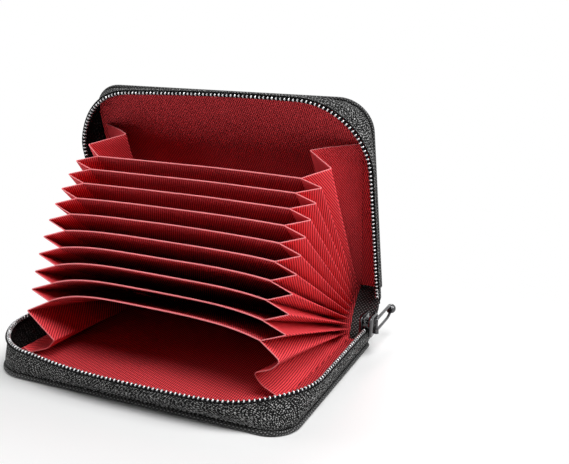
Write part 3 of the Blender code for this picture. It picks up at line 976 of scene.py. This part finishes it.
def make_slider():
    """Two plates, joined by a post and a bridge, with a flange along each side of both."""
    body = make_plate(1)
    post = box("post", (COIL_X, SLIDER_Y - 2.1 * MM, SLIDER_Z), (2 * CHANNEL + PLATE, POST_LENGTH, 0.5 * MM))
    parts = [make_plate(-1), post, make_crown()]
    for side, edge in ((-1, -1), (-1, 1), (1, -1), (1, 1)):
        centre = (COIL_X + side * (CHANNEL - 0.14 * MM), SLIDER_Y, SLIDER_Z + edge * FLANGE_Z)
        flange = box("flange", centre, (FLANGE, FLANGE_LENGTH, FLANGE))
        round_edges(flange, 0.12 * MM, 2)
        parts.append(flange)
    for part in parts:
        combine(body, "UNION", part)
    rename(body, "slider_cast")
    smooth(body, 35)
    return body


def make_knob(centre):
    """A ball, with a short neck drawn out of it towards the wire."""
    deselect()
    bpy.ops.mesh.primitive_uv_sphere_add(segments=28, ring_count=16, radius=KNOB_RADIUS, location=centre,
                                         rotation=(math.pi / 2, 0, 0))
    knob = bpy.context.object
    bpy.ops.object.transform_apply()
    enter("EDIT")
    neck, drawn = centre.y - 1.45 * MM, 0.7 * MM
    select_only(knob, "faces", lambda f: f.calc_center_median().y < neck)
    bpy.ops.mesh.extrude_region_move(TRANSFORM_OT_translate={"value": (0, -drawn, 0)})
    bpy.ops.transform.resize(value=(1.15, 0.2, 1.15), center_override=(centre.x, neck - drawn, centre.z))
    enter("OBJECT")
    return knob


def make_puller():
    """A bent wire hoop that hangs on its bar and narrows to the knob at its end."""
    half, end = PULLER_HALF_WIDTH, PULLER_LENGTH
    bend, tip = end - PULLER_TAPER, 0.5 * MM
    origin = Vector((PULLER_X, SLIDER_Y, SLIDER_Z))
    loop = [origin + Vector((0, y, z)) for y, z in ((0, 0), (0, -half), (bend, -half), (end, -tip),
                                                    (end, tip), (bend, half), (0, half), (0, 0))]
    path = rounded(loop, [0.7 * MM, 2.4 * MM, 0.5 * MM, 0.5 * MM, 2.4 * MM, 0.7 * MM])
    puller = wire("puller_loop", "metal", path[:-1], PULLER_WIRE_RADIUS, 4, closed=True)
    combine(puller, "UNION", make_knob(origin + Vector((0, end, 0))))
    smooth(puller, 45)
    return puller


# ---- dividers, gussets and spine

def leaf_bow(index, across, along):
    """How far a divider arches up, which is most for the lowest one."""
    share = (DIVIDER_COUNT - index) / (DIVIDER_COUNT - 1)
    profile = (1 - across ** 4) * (1 - 0.25 * across)
    return LARGEST_BOW * share ** 2 * profile * along ** 1.5


def leaf_sag(index, across, along):
    """How far the upper leaves hang lower towards their right end."""
    if index > DIVIDER_COUNT or across < 0:
        return 0.0
    return -RIGHT_SAG * max(0.0, (index - 3) / 7) * across ** 1.5 * along ** 2


def dress_dividers():
    columns, rows = 40, 20
    for index in range(1, DIVIDER_COUNT + 1):

        def point_at(column, row):
            across = 2 * column / columns - 1
            along = 1 - row / rows
            x = DIVIDER_HALF_WIDTH * across
            ripple = noise.noise(Vector((x * 45, along * 1.5, index * 3.1)))
            z = (level(index) + leaf_bow(index, across, along) + leaf_sag(index, across, along)
                 + DIVIDER_WAVE * along * (1 - across ** 2) * ripple)
            return LEAVES[index] @ Vector((x, DIVIDER_REAR_Y - DIVIDER_LENGTH * along, z))

        divider = cloth_grid(f"card_divider_{index:02d}", "divider", columns, rows, point_at,
                             lambda column, row: (2 * DIVIDER_HALF_WIDTH * column / columns + 0.003 * index,
                                                  DIVIDER_LENGTH * row / rows))
        thicken(divider, DIVIDER_THICKNESS, 0.16 * MM)
        wear(divider, BODIES[index], f"divider_{index:02d}")


# The folds of the end gussets, from their divider to their cover: x, share of the pocket's height and
# distance from the spine at the front edge, then x and share at the spine, and how round the fold is
LOWER_FOLDS = {
    -1: ((39.14, 1.0, 62.0, 39.14, 1.0, 0), (48.0, 0.78, 62.1, 47.0, 0.82, 0.8),
         (36.0, 0.36, 62.5, 39.14, 0.36, 0.6), (39.6, 0.17, 61.0, 42.0, 0.18, 1.6),
         (47.6, 0.02, 60.5, 46.0, 0.03, 1.2), (50.3, 0.09, 60.5, 47.4, 0.0, 0)),
    1: ((39.14, 1.0, 62.0, 39.14, 1.0, 0), (46.1, 0.75, 62.1, 47.0, 0.82, 2.0),
        (42.6, 0.58, 60.9, 43.0, 0.58, 2.0), (36.3, 0.45, 59.3, 39.14, 0.36, 1.7),
        (38.0, 0.22, 57.0, 42.0, 0.18, 2.0), (44.5, 0.0, 55.0, 47.4, 0.0, 0))}
UPPER_FOLDS = ((39.14, 0.0, 62.0, 39.14, 0.0, 0), (47.0, 0.24, 62.0, 47.0, 0.18, 0.8),
               (36.2, 0.60, 61.4, 39.14, 0.64, 0.6), (41.3, 0.75, 60.5, 42.0, 0.75, 1.6),
               (47.0, 0.89, 59.5, 45.0, 0.9, 2.0), (51.5, 1.0, 58.6, 47.4, 1.0, 0))

# For each end gusset, a share of its hinge's turn that grows through its folds: that share at the origin,
# and what each metre outwards, towards the spine and up adds to it
TURN_SHARE = {(1, -1): (0.580, -13.9, 9.13, 59.3), (1, 1): (0.781, -19.7, 10.7, 62.3),
              (11, -1): (-2.193, 11.7, 39.1, 19.7), (11, 1): (-2.173, 11.1, 39.1, 19.8)}


def gusset_line(index, side, distance):
    """The folded gusset's section across one pocket, at a distance in front of the spine."""
    low_z, high_z = level(index - 1) + GUSSET_LIFT, level(index) - GUSSET_LIFT
    on_lining = LEAF_Z + GUSSET_THICKNESS / 2 + GUSSET_CLEARANCE
    if index == 1:
        low_z = on_lining
    if index == POCKET_COUNT:
        high_z = CLOSED_THICKNESS - on_lining
    across = max(side, 0)
    along = distance / DIVIDER_LENGTH
    low_z += leaf_sag(index - 1, across, along)
    high_z += leaf_sag(index, across, along)

    def at(x, share, reach):
        low = LEAVES[index - 1] @ Vector((0, DIVIDER_REAR_Y - reach, low_z))
        high = LEAVES[index] @ Vector((0, DIVIDER_REAR_Y - reach, high_z))
        return Vector((side * x, 0, 0)) + low.lerp(high, share)

    if 1 < index < POCKET_COUNT:
        root, peak = DIVIDER_HALF_WIDTH - GUSSET_LAP, DIVIDER_HALF_WIDTH + GUSSET_REACH
        corners = [at(root, 0, distance), at(peak, 0.5, distance), at(root, 1, distance)]
        return rounded(corners, [0.8 * MM], 6, 5)
    folds = LOWER_FOLDS[side] if index == 1 else UPPER_FOLDS
    front = (distance - GUSSET_FOOT) / (DIVIDER_LENGTH - GUSSET_FOOT)
    corners = []
    for front_x, front_share, reach, x, share, _ in folds:
        moved = distance + (reach * MM - DIVIDER_LENGTH) * front ** 3
        corners.append(at((x + (front_x - x) * front) * MM, share + (front_share - share) * front, moved))
    return rounded(corners, [fold[-1] * MM for fold in folds[1:-1]], 6, 4)


def turn_line(index, side):
    """The two points between which a gusset's turn would grow from its first body's to its second's; nothing
    here turns the gusset by them.
    """
    if (index, side) in TURN_SHARE:
        base, out, back, up = TURN_SHARE[index, side]
        slope = Vector((out * side, back, up))
        start = slope * (-base / slope.length_squared)
        return start, start + slope / slope.length_squared
    middle_y = DIVIDER_REAR_Y - 50 * MM
    return (LEAVES[index - 1] @ Vector((0, middle_y, level(index - 1))),
            LEAVES[index] @ Vector((0, middle_y, level(index))))


def dress_gussets():
    rows = 20
    length = DIVIDER_LENGTH - GUSSET_FOOT
    for side, word in ((-1, "left"), (1, "right")):
        for index in range(1, POCKET_COUNT + 1):
            lines = [gusset_line(index, side, GUSSET_FOOT + length * (1 - row / rows))
                     for row in range(rows + 1)]
            runs = [lengths(line) for line in lines]
            # The ribs slant the other way in the top pocket, and more steeply in the lowest left one
            cut, skew = -1.0 if index == POCKET_COUNT else 1.0, 0.0
            if (index, side) == (1, -1):
                cut, skew = 0.72, 0.28

            def uv_at(column, row):
                rise = length * row / rows
                return cut * runs[row][column] + skew * rise + 0.004 * index, rise

            gusset = cloth_grid(f"side_gusset_{word}_{index:02d}", "gusset", len(lines[0]) - 1, rows,
                                lambda column, row: lines[row][column], uv_at)
            thicken(gusset, GUSSET_THICKNESS, 0.1 * MM)
            start, end = turn_line(index, side)
            BODIES[index - 1]
            BODIES[index]
            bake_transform(gusset)
            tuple(start)
            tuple(end)
            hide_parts(f"gusset_{word}_{index:02d}")
            widths = [run[-1] for run in runs]
            sum(widths) / len(widths) * length


def spine_section(index, y, tuck):
    """One strip of the soft back, as y, z in the shut stack and the share of its hinge's turn."""
    steps = 6 if index in (1, POCKET_COUNT) else 4
    section = [(y, level(index - 1) + PITCH * rise, rise * rise * (3 - 2 * rise))
               for rise in [step / steps for step in range(steps + 1)]]
    if index == 1:
        section = [(y + dy * MM, z * MM, 0.0) for dy, z in tuck] + section
    if index == POCKET_COUNT:
        section += [(y + dy * MM, CLOSED_THICKNESS - z * MM, 1.0) for dy, z in reversed(tuck)]
    return section


def dress_spine(name, material, node, y, half, flare, thickness, tuck):
    """The soft back, one strip for each hinge, which meet half way between the hinges.

    Its ends stand out with the zip walls, by flare at most.
    """
    columns = 24
    strips = []
    run = 0.0
    for index in range(1, POCKET_COUNT + 1):
        section = spine_section(index, y, tuck)
        line = [bent(Vector((0, spot_y, z)), index, share) for spot_y, z, share in section]
        halves = [half + flare * lean_share(min(z, CLOSED_THICKNESS - z)) for _, z, _ in section]
        rise = lengths(line)

        def across(column, row):
            return halves[row] * (2 * column / columns - 1)

        strip = cloth_grid(f"{name}_{index:02d}", material, columns, len(line) - 1,
                           lambda column, row: Vector((across(column, row), 0, 0)) + line[row],
                           lambda column, row: (half + across(column, row), NO_EDGE_V + run + rise[row]))
        thicken(strip, thickness, even=True)
        start = bent(Vector((0, y, level(index - 1))), index, 0.0)
        end = bent(Vector((0, y, level(index))), index, 1.0)
        BODIES[index - 1]
        BODIES[index]
        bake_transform(strip)
        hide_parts(node)
        strips.append(strip)
        run += rise[-1]
    strips[0]
    strips[1:]


# ---- floor and background

def add_floor():
    """A pale floor that keeps the shadow near the object and fades to plain white away from it."""
    deselect()
    bpy.ops.mesh.primitive_plane_add(size=3.0)
    floor = bpy.context.object
    floor.name = "floor"
    made = Finish("floor", 0.8, specular=0.2)
    made.shader.inputs["Base Color"].default_value = (0.93, 0.93, 0.93, 1.0)
    across, along = made.axes(made.place())
    # On each side, where the floor starts to fade and where it is white
    reach = made.math("MAXIMUM", along.spread(-0.045, -0.125), along.spread(0.045, 0.12))
    for side in (across.spread(-0.042, -0.075), across.spread(0.060, 0.13)):
        reach = made.math("MAXIMUM", reach, side)
    far = made.node("ShaderNodeMapRange", {"Value": reach}, interpolation_type="SMOOTHSTEP")
    white = made.node("ShaderNodeEmission", {"Color": (1.0, 1.0, 1.0, 1.0), "Strength": 1.0})
    mixed = made.node("ShaderNodeMixShader", {0: made.seen() * far.outputs[0], 1: made.shader.outputs[0],
                                              2: white.outputs[0]})
    made.feed(made.tree.nodes["Material Output"].inputs["Surface"], mixed.outputs[0])
    floor.data.materials.append(made.material)


def add_world():
    """White where it is seen, and only a faint light on the object."""
    world = bpy.data.worlds.new("studio")
    bpy.context.scene.world = world
    world.use_nodes = True
    graph = Graph(world.node_tree)
    background = graph.tree.nodes["Background"]
    background.inputs["Color"].default_value = (1.0, 1.0, 1.0, 1.0)
    graph.feed(background.inputs["Strength"], graph.seen().spread(0.0, 1.0, 0.02, 1.0))


add_camera()
add_world()
add_floor()
add_lamp("key", (0.30, -0.22, 0.70), 3.9)
add_lamp("right", (0.62, 0.0, 0.48), 3.0)
add_lamp("left", (-0.73, -0.20, 0.22), 1.9)
add_lamp("rear", (-0.10, 0.60, 0.55), 2.0)

dress_covers()
dress_zip()
wear(make_slider(), "slider", "slider_body")
wear(make_puller(), "puller", "puller")
dress_dividers()
dress_gussets()
dress_spine("spine_cloth", "cover", "spine_fabric", SPINE_CLOTH_Y, SPINE_HALF_WIDTH,
            SPINE_FLARE, SPINE_CLOTH_THICKNESS,
            ((-4.6, 0.62), (-3.2, 0.56), (-1.6, 0.50), (-0.7, 0.52), (-0.2, 0.74), (0.0, 1.2), (0.0, 1.8)))
dress_spine("spine_lining", "lining", "spine_lining", SPINE_LINING_Y, SPINE_LINING_HALF_WIDTH,
            0.0, SPINE_LINING_THICKNESS,
            ((-6.0, 2.62), (-4.0, 2.60), (-2.0, 2.60), (-0.8, 2.62), (-0.2, 2.7)))

bpy.context.scene.view_settings.view_transform = "Standard"
bpy.context.view_layer.update()
